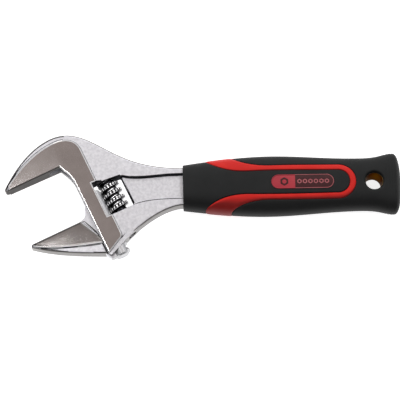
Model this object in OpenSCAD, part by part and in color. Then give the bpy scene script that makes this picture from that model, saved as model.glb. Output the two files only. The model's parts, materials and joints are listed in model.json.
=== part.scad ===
// Wide-opening adjustable wrench, lying flat. The grip runs along X, the jaws are at -X.

/* [Whole tool] */
// Overall length, from the fixed jaw's tip to the butt of the grip
overall_l = 210; // [206:1:214]
// Distance from the origin to the grip's axis, across the tool
axis_y = 4.25; // [4:0.05:4.5]
// Angle between the jaw faces and the grip
jaw_angle = 24.5; // [23:0.5:26]

/* [Jaws] */
// Opening between the two gripping faces as stored
jaw_gap = 32.1; // [31:0.1:33]
// Thickness over the polished flats of the head
head_t = 10.8; // [10.4:0.1:11.2]
// Thickness of the plate under the polished flats
plate_t = 9.2; // [8.6:0.1:9.6]
// Thickness of both jaws at their tips
tip_t = 8.4; // [8:0.1:9]

/* [Rail and knurl] */
// Radius of the movable jaw's round rail
rail_r = 4.3; // [4.2:0.05:4.4]
// Lead of the knurl's thread, and pitch of the rack
lead = 4; // [3.9:0.05:4.1]
// Outer radius of the knurl
knurl_r = 5.6; // [5.4:0.05:5.7]
// Radius of the knurl's core between the thread's turns
knurl_root_r = 3.7; // [3.6:0.05:3.8]
// Length of the knurl
knurl_l = 17.8; // [17:0.1:18]
// Number of finger notches round the knurl
notches = 18; // [16:1:20]
// Radius of the pin that the knurl turns on
pin_r = 1.75; // [1.7:0.05:1.8]

/* [Shank] */
// Width of the shank where it enters the grip
shank_w = 20.7; // [20:0.1:21.5]
// Thickness of the shank over its flanges
shank_t = 8.4; // [8:0.1:8.8]
// Thickness of the web between the shank's two recesses
shank_web_t = 4.2; // [3.8:0.1:4.6]

/* [Grip] */
// X of the grip's front end
grip_x = -10.5; // [-11:0.1:-10]
// Greatest width of the grip
grip_w = 32.4; // [32:0.1:33]
// Greatest thickness of the grip
grip_t = 18.4; // [18:0.1:19]
// Thickness of the black cover over the red core
cover_t = 2.6; // [2.4:0.1:2.8]
// Half width of the red loop, to its outer edge
loop_r = 9.45; // [9.2:0.05:9.6]
// Width of the red loop's band
band_w = 3.15; // [3:0.05:3.3]
// Length of the oval badge
badge_l = 33.2; // [32:0.1:34]
// Width of the oval badge
badge_w = 7.8; // [7.4:0.1:8.2]
// Inner radius of the hanging hole
hang_r = 4.5; // [4.3:0.1:4.7]

/* [Hidden] */

// Head coordinates [a, b] have their origin at the knurl's centre: a runs along the
// gripping faces towards the grip, b runs across them towards the fixed jaw.
knurl_x = -47.3;
knurl_y = -4.0;
face_b = 26.1;                    // the fixed jaw's gripping face
jaw_b = face_b - jaw_gap;         // the movable jaw's gripping face
front_a = -15.6;                  // front of the housing, where the movable jaw slides
strip_a = -5.1;                   // back edge of the polished flats
root_a = -19.4;                   // inner corner of the fixed jaw
rail_a = -8.8;                    // axis of the rail
rail_top = jaw_b + 13.3;          // on the rail's axis: its end is cut parallel to the grip
rail_end = jaw_b - 25.5;
web_top = jaw_b + 11.5;
window = [[-7.9, -9.4], [7.6, -9.4], [7.6, 8.6], [-0.6, 9.4], [-5.85, 9.4], [-5.85, 7.2], [-7.9, 7.2]];
// A shallow relief in each face over the window's front corner, for the rail's end
relief = [[-7.9, 7], [-2.6, 7], [-2.6, 10.1], [-4.7, 10.8], [-7.9, 10.8]];
relief_z = 2.9;                   // its floor, from the middle plane
spring_top = 9.05;                // where the knurl's spring bears on the window's top

gap = 0.05;                       // between pieces moulded or pressed together
slide_gap = 0.1;                  // between the rail and its bore
side_gap = 0.3;                   // between the movable jaw and the housing
far = 200;                        // longer than anything that is cut
curve_n = 14;                     // pieces in a curved stretch of an outline

function bezier(p, n = curve_n) =
    [for (i = [0:n - 1]) let (t = i / n, s = 1 - t)
        s * s * s * p[0] + 3 * s * s * t * p[1] + 3 * s * t * t * p[2] + t * t * t * p[3]];
function arc(c, r, from, to, n = curve_n) =
    [for (i = [0:n]) let (w = from + (to - from) * i / n) c + r * [cos(w), sin(w)]];
function flipped(points) = [for (i = [len(points) - 1:-1:0]) [points[i].x, -points[i].y]];
function from_head(p) =
    [knurl_x + cos(jaw_angle) * p.x - sin(jaw_angle) * p.y,
     knurl_y + sin(jaw_angle) * p.x + cos(jaw_angle) * p.y];

module lying_flat() {
    translate([0, axis_y, grip_t / 2]) children();
}

module in_head() {
    translate([knurl_x, knurl_y, 0]) rotate([0, 0, jaw_angle]) children();
}

// Turns what is modelled along +Z so that it lies along +b, at the given a.
module along_b(a) {
    translate([a, 0, 0]) rotate([-90, 0, 0]) children();
}

// Everything past b, with a face that is parallel to the grip and crosses a at b.
module past(a, b) {
    translate([a, b, 0]) rotate([0, 0, -jaw_angle])
        translate([-far / 2, 0, -far / 2]) cube([far, far, far]);
}

module slab(points, thickness) {
    linear_extrude(height = thickness, center = true) polygon(points);
}

// A block that is full thickness behind the jaws and thins evenly to their tips.
module jaw_taper(full_t, thin_t) {
    start_a = -17;
    tip_a = -52;
    half = [[60, full_t / 2], [start_a, full_t / 2], [tip_a, thin_t / 2]];
    rotate([90, 0, 0]) linear_extrude(height = far, center = true)
        polygon(concat(half, flipped(half)));
}

// ---------------------------------------------------------------- wrench body

shank_end = -6;                   // where the shank steps down to the tang
fixed_tip = bezier([[-49.2, face_b], [-50.6, 26.3], [-51.4, 27.2], [-50.6, 28.1]], 5);
fixed_back = concat(
    bezier([[-50.6, 28.1], [-41.6, 35.8], [-29.5, 43], [-17.5, 43]]),
    bezier([[-17.5, 43], [-4.4, 43], [1.6, 32.2], [8.5, 22.9]]));
throat = concat(
    bezier([[front_a, 14], [front_a, 18.5], [-17.4, 22.2], [root_a, face_b]], 8),
    [[root_a, face_b]]);
housing_end = [[-4.6, -25.1], [-14.6, -29.3], [front_a, -28.6]];

body_outline = concat(
    [for (p = concat(fixed_tip, fixed_back)) from_head(p)],
    bezier([from_head([8.5, 22.9]), [-39.9, 15.2], [-28, shank_w / 2], [-10, shank_w / 2]]),
    [[-10, shank_w / 2], [shank_end, shank_w / 2], [shank_end, -shank_w / 2]],
    bezier([[-10, -shank_w / 2], [-21, -shank_w / 2], [-35.3, -22.2], from_head([-4.6, -25.1])]),
    [for (p = concat(housing_end, throat)) from_head(p)]);

// The polished flat: gripping face, throat and housing front, then an inset back edge.
flat_outline = concat(
    [[-48.6, face_b], [-48.9, 27.6]],
    bezier([[-48.4, 28.6], [-40.3, 33.9], [-29, 39.8], [-17, 39.8]]),
    bezier([[-17, 39.8], [-9.4, 39.8], [-5.6, 36.3], [strip_a, 31]], 8),
    [[strip_a, 31]],
    bezier([[strip_a, -20.6], [strip_a, -22], [-5.7, -22.8], [-6.9, -23.4]], 5),
    [[-6.9, -23.4], [-14.9, -27.6], [front_a, -27.2]],
    throat);

// The recess in each face of the shank, open towards the window
recess_x = grip_x + 1.5;
recess_outline = concat(
    [from_head([6, 8.5])],
    bezier([[-42.4, 6.6], [-36, 4.9], [-27, 6.1], [-18, 6.8]], 10),
    [[-18, 6.8], [recess_x, 6.9]],
    bezier([[recess_x, -6.3], [-22, -6.3], [-30, -6.6], [-36.4, -9.1]], 10),
    [[-36.4, -9.1], from_head([6, -8.8])]);

// The tang inside the grip
tang_w = 15;
tang_t = 6;
tang_end = 81;
hang_x = 90.7;
bush_t = 0.7;
bush_l = 13;
function tang_outline(grow) =
    [[-8, shank_w / 2 + grow], [-2, tang_w / 2 + grow], [tang_end + grow, tang_w / 2 + grow],
     [tang_end + grow, -tang_w / 2 - grow], [-2, -tang_w / 2 - grow], [-8, -shank_w / 2 - grow]];

// The path that the movable jaw's web needs, from fully open to closed
closed_b = jaw_gap;
web_t = 5;
web_ramp = [[-24, 0], [-18.9, 1.8], [-18.3, 2.7], [-15.8, 8.2]];
slot_outline = concat(
    [[-25.5, face_b - 6]],
    [for (p = web_ramp) [p.x - 2, jaw_b + closed_b + p.y + 0.8]],
    [[-15.5, web_top + closed_b + 0.6], [rail_a, web_top + closed_b + 0.6], [rail_a, -far / 2],
     [-30, -far / 2], [-30, face_b - 6]]);

pin_head_r = 2.4;
pin_head_l = 5;
pin_low = -22.2;
pin_high = 16;

module shank_profile() {
    full_x = -45;
    thin_x = -38;
    half = [[-far, head_t / 2], [full_x, head_t / 2], [full_x + 0.1, plate_t / 2],
            [thin_x, shank_t / 2], [far, shank_t / 2]];
    rotate([90, 0, 0]) linear_extrude(height = far, center = true)
        polygon(concat(half, flipped(half)));
}

module head_blank() {
    intersection() {
        slab(body_outline, plate_t);
        in_head() jaw_taper(plate_t, tip_t - 1.2);
        shank_profile();
    }
    in_head() intersection() {
        slab(flat_outline, head_t);
        jaw_taper(head_t, tip_t);
    }
    slab(tang_outline(0), tang_t);
}

module wrench_body() {
    color("silver") lying_flat() difference() {
        head_blank();
        in_head() {
            slab(window, far);
            for (side = [-1, 1])
                translate([0, 0, side * (relief_z + far / 2)]) slab(relief, far);
            // bore and slot of the rail
            difference() {
                along_b(rail_a) translate([0, 0, -far / 2])
                    cylinder(r = rail_r + slide_gap, h = far, $fn = 64);
                past(rail_a, rail_top + closed_b + 0.3);
            }
            slab(slot_outline, web_t + 2 * side_gap);
            // bores of the knurl's pin
            along_b(0) translate([0, 0, -far / 2])
                cylinder(r = pin_head_r + gap, h = far / 2 + pin_low + pin_head_l + gap, $fn = 48);
            along_b(0) translate([0, 0, pin_low])
                cylinder(r = pin_r + gap / 2, h = pin_high - pin_low + 0.3, $fn = 48);
        }
        for (side = [-1, 1])
            translate([0, 0, side * (shank_web_t + shank_t) / 2])
                slab(recess_outline, shank_t);
    }
}

// ---------------------------------------------------------------- movable jaw

heel_a = front_a - side_gap;
jaw_outline = concat(
    [[-50.2, 0]],
    bezier([[-50.9, -1.2], [-44, -7.2], [-33, -13.7], [heel_a, -21.6]]),
    [[heel_a, -21.6]],
    // the rear corner clears the throat when the jaws are closed
    bezier([[heel_a, -12.6], [heel_a, -7.9], [-17.9, -4.1], [-19.9, 0]], 8),
    [[-19.9, 0]]);
jaw_flat_outline = concat(
    [[-49.9, 0]],
    bezier([[-50.3, -0.8], [-43.5, -6], [-31, -10.8], [heel_a, -15.4]], 10),
    [[heel_a, -15.4], [heel_a, -12.6], [-22, 0]]);

tooth_depth = 1.6;
tooth_gap = 2.5;                  // width of a rack gap at its bottom
tooth_draft = 0.25;               // how much wider each side is at the tips
crest_b = 0.4;                    // a thread turn's height beside the rail
rack_tilt = atan(lead / (2 * PI * (knurl_r - tooth_depth / 2)));

module rack_gap(b) {
    bottom_a = rail_a + rail_r - tooth_depth;
    outside = [bottom_a + 2 * tooth_depth, tooth_gap / 2 + 2 * tooth_draft];
    translate([0, b, 0]) rotate([-rack_tilt, 0, 0])
        slab([[bottom_a, -tooth_gap / 2], [outside.x, -outside.y],
              outside, [bottom_a, tooth_gap / 2]], 4 * rail_r);
}

module rail() {
    chamfer = 0.8;
    length = rail_top - rail_end + rail_r;
    difference() {
        along_b(rail_a) translate([0, 0, rail_end]) rotate_extrude($fn = 64)
            polygon([[0, 0], [rail_r - chamfer, 0], [rail_r, chamfer], [rail_r, length],
                     [0, length]]);
        past(rail_a, rail_top);
        for (b = [crest_b + lead * floor((rail_end - crest_b) / lead):lead:rail_top + lead])
            rack_gap(b);
    }
}

module movable_jaw() {
    color("gainsboro") lying_flat() in_head() {
        translate([0, jaw_b, 0]) {
            intersection() {
                slab(jaw_outline, plate_t - 0.6);
                jaw_taper(plate_t - 0.6, tip_t - 1.6);
            }
            intersection() {
                slab(jaw_flat_outline, head_t);
                jaw_taper(head_t, tip_t);
            }
        }
        // the web that carries the jaw on its rail
        slab(concat([for (p = web_ramp) p + [0, jaw_b]],
                    [[-15.2, web_top - 0.8], [rail_a, web_top - 0.8], [rail_a, rail_end + 0.8],
                     [-15.2, rail_end + 0.8], [-17.2, jaw_b - 20.4]]), web_t);
        rail();
    }
}

// ---------------------------------------------------------------- knurl

crest_w = 1.9;
flank_w = 0.45;                   // width of each flank, seen from outside
notch_depth = 0.55;
round_n = notches * 4;
turn_n = 12;                      // rows of points in one turn of lead
knurl_low = -knurl_l / 2 - 0.1;

// Height of the thread above the core, from 0 to 1, at a distance d from the turn's middle
function thread_height(d) =
    let (off = abs(d) - crest_w / 2) off < 0 ? 1 : off > flank_w ? 0 : 1 - off / flank_w;
function notch(i) = [0, 0.35, 1, 0.35][i % 4];
function knurl_radius(i, h) =
    let (around = 360 * i / round_n,
         turn = (h - crest_b - lead * (around - 180) / 360) / lead,
         d = lead * (turn - round(turn)),
         end_bevel = 0.6 * max(0, 1 - min(h - knurl_low, knurl_low + knurl_l - h) / 0.6))
    knurl_root_r - end_bevel * 0.3
        + (knurl_r - knurl_root_r - notch_depth * notch(i) - end_bevel) * thread_height(d);

module thread_solid() {
    rows = round(knurl_l / lead * turn_n);
    points = [for (j = [0:rows], i = [0:round_n - 1])
        let (h = knurl_low + knurl_l * j / rows, r = knurl_radius(i, h), w = 360 * i / round_n)
            [r * cos(w), r * sin(w), h]];
    sides = [for (j = [0:rows - 1], i = [0:round_n - 1])
        let (k = (i + 1) % round_n, low = j * round_n, high = low + round_n)
            each [[low + i, high + k, low + k], [low + i, high + i, high + k]]];
    bottom = [[for (i = [0:round_n - 1]) i]];
    top = [[for (i = [round_n - 1:-1:0]) rows * round_n + i]];
    polyhedron(points, concat(sides, bottom, top));
}

spring_wire_r = 0.28;
spring_r = 2.35;
spring_turns = 4.5;
spring_low = knurl_low + knurl_l - 4.3;
pocket_r = 2.85;

module knurl() {
    color("lightgrey") lying_flat() in_head() along_b(0) difference() {
        thread_solid();
        cylinder(r = pin_r + 0.05, h = far, center = true, $fn = 64);
        translate([0, 0, spring_low]) cylinder(r = pocket_r, h = far, $fn = 64);
    }
}

module knurl_pin() {
    slot_w = 0.9;
    slot_depth = 1;
    color("dimgrey") lying_flat() in_head() along_b(0) difference() {
        translate([0, 0, pin_low]) rotate_extrude($fn = 64)
            polygon([[0, 0], [pin_head_r - 0.3, 0], [pin_head_r, 0.3],
                     [pin_head_r, pin_head_l], [pin_r, pin_head_l],
                     [pin_r, pin_high - pin_low - 0.4],
                     [pin_r - 0.4, pin_high - pin_low], [0, pin_high - pin_low]]);
        translate([-far / 2, -slot_w / 2, pin_low - 1]) cube([far, slot_w, 1 + slot_depth]);
    }
}

module knurl_spring() {
    ring_n = 8;
    step_n = 16;
    steps = spring_turns * step_n;
    low = spring_low + spring_wire_r + 0.02;
    high = spring_top - spring_wire_r - 0.02;
    points = [for (j = [0:steps], i = [0:ring_n - 1])
        let (w = 360 * j / step_n, q = 360 * i / ring_n, r = spring_r + spring_wire_r * cos(q))
            [r * cos(w), r * sin(w), low + (high - low) * j / steps + spring_wire_r * sin(q)]];
    sides = [for (j = [0:steps - 1], i = [0:ring_n - 1])
        let (k = (i + 1) % ring_n, here = j * ring_n, next = here + ring_n)
            each [[here + i, next + k, here + k], [here + i, next + i, next + k]]];
    start = [[for (i = [0:ring_n - 1]) i]];
    finish = [[for (i = [ring_n - 1:-1:0]) steps * ring_n + i]];
    color("darkgrey") lying_flat() in_head() along_b(0)
        polyhedron(points, concat(sides, start, finish));
}

// ---------------------------------------------------------------- grip

butt_x = overall_l / 2;
belly_x = 36;
waist_x = 84;
flare_x = 101;
// Stations along the grip as [x, half width]
side_line = concat(
    bezier([[grip_x, 12.1], [6, 14.4], [20, grip_w / 2], [belly_x, grip_w / 2]], 10),
    bezier([[belly_x, grip_w / 2], [52, grip_w / 2], [66, 14.1], [waist_x, 14.1]], 8),
    bezier([[waist_x, 14.1], [94.5, 14.1], [96.5, 16.5], [flare_x, 16.5]], 8),
    bezier([[flare_x, 16.5], [103.4, 16.5], [104.3, 13.5], [butt_x - 0.1, 7]], 6),
    [[butt_x, 5]]);
// Half thickness at x: full at the belly, a little thinner at the front, round at the butt
function half_thick(x) =
    let (front = 0.8 * pow(max(0, belly_x - x) / (belly_x - grip_x), 2),
         back = 0.7 * sin(90 * min(1, max(0, x - belly_x) / (waist_x - belly_x))),
         butt = max(0, x - flare_x) / (butt_x - flare_x))
    (grip_t / 2 - front - back) * sqrt(1 - 0.8 * butt * butt);
squareness = 2.7;
function super_point(w, half_w, half_t) =
    [half_w * sign(cos(w)) * pow(abs(cos(w)), 2 / squareness),
     half_t * sign(sin(w)) * pow(abs(sin(w)), 2 / squareness)];

module loft(stations, inset, section_n) {
    count = len(stations);
    points = [for (s = stations, i = [0:section_n - 1])
        let (p = super_point(360 * (i + 0.5) / section_n, s.y - inset, half_thick(s.x) - inset))
            [s.x, p.x, p.y]];
    sides = [for (j = [0:count - 2], i = [0:section_n - 1])
        let (k = (i + 1) % section_n, here = j * section_n, next = here + section_n)
            each [[here + i, next + k, here + k], [here + i, next + i, next + k]]];
    start = [[for (i = [0:section_n - 1]) i]];
    finish = [[for (i = [section_n - 1:-1:0]) (count - 1) * section_n + i]];
    polyhedron(points, concat(sides, start, finish));
}

module grip_shape() {
    loft(side_line, 0, 36);
}

core_x = [grip_x + 1.5, butt_x - 4];
function width_at(x, i = 0) =
    x < side_line[i + 1].x || i > len(side_line) - 3
        ? side_line[i].y + (side_line[i + 1].y - side_line[i].y)
            * (x - side_line[i].x) / (side_line[i + 1].x - side_line[i].x)
        : width_at(x, i + 1);

module core_shape(grow) {
    count = 12;
    length = core_x[1] - core_x[0] + 2 * grow;
    loft([for (i = [0:count]) let (x = core_x[0] - grow + length * i / count)
            [x, min(width_at(x), 14.6)]], cover_t - grow, 24);
}

// The red loop in plan: two stripes joined round the back, which leave over the sides at
// the front. An edge runs from beyond one side, along the stripe, to the loop's back.
loop_back_x = 71.5;
beyond = grip_w / 2 + 1;
function loop_edge(half_w, front_x, turn) = concat(
    bezier([[front_x, beyond], turn, [turn.x + 9, half_w], [turn.x + 19, half_w]], 8),
    arc([loop_back_x, 0], half_w, 90, 0, 8));
function mirrored_path(path) = concat(path, [for (i = [len(path) - 2:-1:0]) [path[i].x, -path[i].y]]);
function loop_outer(shrink) =
    mirrored_path(loop_edge(loop_r - shrink, 13 - shrink, [17, 12 - shrink]));
function loop_inner(shrink) =
    mirrored_path(loop_edge(loop_r - band_w + shrink, shrink - 2, [4, 9.4 + shrink]));
function reversed(path) = [for (i = [len(path) - 1:-1:0]) path[i]];

module loop_band(shrink) {
    slab(concat(loop_outer(shrink), reversed(loop_inner(shrink))), far);
}

badge_x = 52.7;
badge_t = 0.9;
module badge_plan(shrink) {
    for (side = [-1, 1])
        translate([badge_x + side * (badge_l - badge_w) / 2, 0])
            circle(r = badge_w / 2 - shrink, $fn = 48);
    square_l = badge_l - badge_w;
    translate([badge_x - square_l / 2, shrink - badge_w / 2])
        square([square_l, badge_w - 2 * shrink]);
}
badge_z = grip_t / 2 - badge_t - 0.05;

module grip_core() {
    color("crimson") lying_flat() difference() {
        union() {
            core_shape(-gap);
            intersection() {
                grip_shape();
                loop_band(gap);
            }
        }
        slab(tang_outline(gap), tang_t + 2 * gap);
        shank_room();
        translate([hang_x, 0, 0])
            cylinder(r = hang_r + bush_t + gap, h = far, center = true, $fn = 64);
    }
}

// The mouth that the shank's end fills
module shank_room() {
    length = 10;
    translate([shank_end + gap - length / 2, 0, 0])
        cube([length, shank_w + 2 * gap, shank_t + 2 * gap], center = true);
}

// The black rubber before the red loop divides it into two pieces
module cover_blank() {
    difference() {
        grip_shape();
        core_shape(0);
        shank_room();
    }
}

// The front sleeve, with a tongue inside the loop on each face
module grip_sleeve() {
    color([0.12, 0.12, 0.13]) lying_flat() difference() {
        intersection() {
            cover_blank();
            slab(concat([[grip_x - 1, beyond]], loop_inner(0), [[grip_x - 1, -beyond]]), far);
        }
        for (side = [-1, 1])
            translate([0, 0, side * (badge_z + far / 2)])
                linear_extrude(height = far, center = true) badge_plan(0);
    }
}

// The rear shell, round the outside of the loop and over the butt
module grip_shell() {
    color([0.12, 0.12, 0.13]) lying_flat() difference() {
        cover_blank();
        slab(concat([[grip_x - 1, beyond]], loop_outer(0), [[grip_x - 1, -beyond]]), far);
        translate([hang_x, 0, 0])
            cylinder(r = hang_r + 0.2, h = far, center = true, $fn = 64);
        translate([hang_x, 0, 0])
            cylinder(r = hang_r + bush_t + gap, h = bush_l + 2 * gap, center = true, $fn = 64);
    }
}

module badge(side) {
    color("firebrick") lying_flat()
        translate([0, 0, side * (badge_z + gap + badge_t / 2)])
            linear_extrude(height = badge_t, center = true) badge_plan(gap);
}

module hang_bush() {
    color("goldenrod") lying_flat() translate([hang_x, 0, 0]) difference() {
        cylinder(r = hang_r + bush_t, h = bush_l, center = true, $fn = 64);
        cylinder(r = hang_r, h = far, center = true, $fn = 64);
    }
}

wrench_body();
movable_jaw();
knurl();
knurl_pin();
knurl_spring();
grip_core();
grip_sleeve();
grip_shell();
badge(1);  // badge_front
badge(-1);  // badge_back
hang_bush();
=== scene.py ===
"""Adjustable wrench: the studio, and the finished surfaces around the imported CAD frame."""
import json
import math

import bmesh
import bpy
import numpy as np
from mathutils import Matrix, Vector, geometry


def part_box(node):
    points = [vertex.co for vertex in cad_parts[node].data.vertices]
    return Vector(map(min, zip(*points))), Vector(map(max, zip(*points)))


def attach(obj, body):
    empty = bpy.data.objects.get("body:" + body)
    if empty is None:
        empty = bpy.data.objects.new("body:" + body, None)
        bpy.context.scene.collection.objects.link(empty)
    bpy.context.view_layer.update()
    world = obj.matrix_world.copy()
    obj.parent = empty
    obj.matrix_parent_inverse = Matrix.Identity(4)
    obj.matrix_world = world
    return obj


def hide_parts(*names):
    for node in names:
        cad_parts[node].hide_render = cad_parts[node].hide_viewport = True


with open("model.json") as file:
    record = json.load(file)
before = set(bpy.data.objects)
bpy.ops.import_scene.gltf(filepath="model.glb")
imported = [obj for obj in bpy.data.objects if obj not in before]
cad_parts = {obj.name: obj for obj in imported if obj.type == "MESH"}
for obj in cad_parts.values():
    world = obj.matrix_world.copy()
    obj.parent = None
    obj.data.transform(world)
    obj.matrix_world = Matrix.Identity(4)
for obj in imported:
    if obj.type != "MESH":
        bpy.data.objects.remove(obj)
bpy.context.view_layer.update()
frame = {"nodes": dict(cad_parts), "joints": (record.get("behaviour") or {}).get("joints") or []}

MM = 0.001
scene = bpy.context.scene

# ------------------------------------------------------------------ places taken from the frame

spin = next(j for j in frame["joints"] if j["name"] == "knurl_spin")
knurl_centre = Vector(spin["pos_m"])
open_dir = Vector(spin["axis"]).normalized()      # the way the movable jaw opens
across = -open_dir                                # b: across the gripping faces
along = Vector((across.y, -across.x, 0))          # a: along the gripping faces, to the grip
mid_z = knurl_centre.z
badge_low, badge_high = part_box("badge_front")
grip_y = (badge_low.y + badge_high.y) / 2
grip_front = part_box("grip_sleeve")[0].x
grip_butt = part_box("grip_shell")[1].x


def head_coords(p):
    """Millimetres along the gripping faces, across them, and above the middle plane."""
    rel = (p - knurl_centre) / MM
    return rel.dot(along), rel.dot(across), (p.z - mid_z) / MM


def from_head(a, b, z):
    return knurl_centre + (along * a + across * b) * MM + Vector((0, 0, z * MM))


def head_box(node):
    """The node's box in head coordinates."""
    points = np.array([head_coords(v.co) for v in frame["nodes"][node].data.vertices])
    return points.min(0), points.max(0)


# ------------------------------------------------------------------ camera and studio

def make_camera():
    """Looks down on the tool from 16 degrees off the vertical."""
    aim = Vector((-1.62, -2.34, 9.2)) * MM
    distance = 0.9558
    off_vertical = math.radians(16)
    roll = math.radians(-1.25)
    back = Vector((math.sin(off_vertical) * math.sin(roll),
                   -math.sin(off_vertical) * math.cos(roll), math.cos(off_vertical)))
    right = Vector((math.cos(roll), math.sin(roll), 0))
    up = back.cross(right)
    data = bpy.data.cameras.new("camera")
    data.lens = 162
    data.sensor_width = 36
    camera = bpy.data.objects.new("camera", data)
    scene.collection.objects.link(camera)
    camera.matrix_world = Matrix.Translation(aim + back * distance) @ Matrix(
        (right, up, back)).transposed().to_4x4()
    scene.camera = camera


def add_area(name, place, target, size, power, colour):
    light = bpy.data.lights.new(name, "AREA")
    light.shape = "RECTANGLE"
    light.size, light.size_y = size
    light.energy = power
    light.color = colour
    lamp = bpy.data.objects.new(name, light)
    scene.collection.objects.link(lamp)
    lamp.location = place
    lamp.rotation_mode = "QUATERNION"
    lamp.rotation_quaternion = (Vector(target) - Vector(place)).to_track_quat("-Z", "Y")


class Nodes:
    """A short way to build a node tree."""

    def __init__(self, tree):
        self.tree = tree
        tree.nodes.clear()

    def add(self, kind, inputs=None, **settings):
        node = self.tree.nodes.new(kind)
        for key, value in settings.items():
            setattr(node, key, value)
        for key, value in (inputs or {}).items():
            if isinstance(value, bpy.types.NodeSocket):
                self.tree.links.new(value, node.inputs[key])
            else:
                node.inputs[key].default_value = value
        return node

    def ramp(self, factor, stops, interpolation="LINEAR"):
        node = self.add("ShaderNodeValToRGB", {"Fac": factor})
        node.color_ramp.interpolation = interpolation
        while len(node.color_ramp.elements) < len(stops):
            node.color_ramp.elements.new(1)
        for element, (place, colour) in zip(node.color_ramp.elements, stops):
            element.position = place
            element.color = (*colour, 1)
        return node.outputs["Color"]

    def mix(self, factor, first, second, blend="MIX"):
        node = self.add("ShaderNodeMix", {0: factor, 6: first, 7: second}, data_type="RGBA",
                        blend_type=blend)
        return node.outputs[2]


def make_world():
    """A bright room, dark low down on the near side, with a soft brown-grey patch overhead
    that the polished flats mirror."""
    world = bpy.data.worlds.new("studio")
    world.use_nodes = True
    scene.world = world
    n = Nodes(world.node_tree)
    way = n.add("ShaderNodeTexCoord").outputs["Generated"]
    tilt = math.radians(16)
    patch = (0, math.sin(tilt), math.cos(tilt))
    near = n.add("ShaderNodeVectorMath", {0: way, 1: patch},
                 operation="DOT_PRODUCT").outputs["Value"]
    room = n.ramp(near, [(0.0, (0.32, 0.31, 0.31)), (0.50, (0.72, 0.72, 0.73)),
                         (0.80, (0.88, 0.88, 0.91)), (0.90, (0.50, 0.47, 0.46)),
                         (0.97, (0.34, 0.30, 0.285)), (1.0, (0.33, 0.285, 0.27))], "B_SPLINE")
    side = n.add("ShaderNodeSeparateXYZ", {0: way}).outputs["Y"]
    dark = n.add("ShaderNodeMapRange", {"Value": side, "From Min": -0.90, "From Max": -0.52,
                                        "To Min": 0.06, "To Max": 1.0},
                 interpolation_type="SMOOTHSTEP").outputs[0]
    background = n.add("ShaderNodeBackground", {"Color": room, "Strength": dark})
    n.add("ShaderNodeOutputWorld", {"Surface": background.outputs[0]})


def make_floor():
    size = 3.0
    mesh = bpy.data.meshes.new("floor")
    mesh.from_pydata([(-size, -size, 0), (size, -size, 0), (size, size, 0), (-size, size, 0)], [],
                     [(0, 1, 2, 3)])
    floor = bpy.data.objects.new("floor", mesh)
    scene.collection.objects.link(floor)
    material, n = new_material("pale_paper")
    grain = n.add("ShaderNodeTexNoise", {"Scale": 40.0, "Detail": 4.0}).outputs["Fac"]
    shade = n.ramp(grain, [(0.3, (0.80, 0.80, 0.80)), (0.7, (0.83, 0.83, 0.83))])
    surface = n.add("ShaderNodeBsdfPrincipled", {
        "Base Color": shade, "Roughness": 0.9, "Specular IOR Level": 0.1,
        "Emission Color": (1, 1, 1, 1), "Emission Strength": 0.8})
    n.add("ShaderNodeOutputMaterial", {"Surface": surface.outputs[0]})
    mesh.materials.append(material)


def make_studio():
    make_world()
    make_floor()
    add_area("far_panel", (-0.1, 0.75, 0.65), (0, 0, 0), (1.2, 0.8), 2.2, (1.0, 0.99, 0.98))
    for name, place in (("left_key", (-0.267, 0.117, 0.758)), ("right_key", (0.178, 0.32, 0.70))):
        add_area(name, place, (-0.04, 0, 0), (0.08, 0.08), 0.35, (1.0, 1.0, 1.0))
    scene.view_settings.view_transform = "Standard"
    scene.view_settings.look = "None"


# ------------------------------------------------------------------ materials

def new_material(name):
    material = bpy.data.materials.new(name)
    material.use_nodes = True
    return material, Nodes(material.node_tree)


def place_mm(n):
    """The place on the piece, in millimetres."""
    place = n.add("ShaderNodeTexCoord").outputs["Object"]
    return n.add("ShaderNodeVectorMath", {0: place, "Scale": 1 / MM}, operation="SCALE").outputs[0]


def close_material(n, sockets, height, strength, distance=0.05):
    bump = n.add("ShaderNodeBump", {"Height": height, "Strength": strength,
                                    "Distance": distance * MM})
    surface = n.add("ShaderNodeBsdfPrincipled", {**sockets, "Normal": bump.outputs["Normal"]})
    n.add("ShaderNodeOutputMaterial", {"Surface": surface.outputs[0]})


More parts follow.
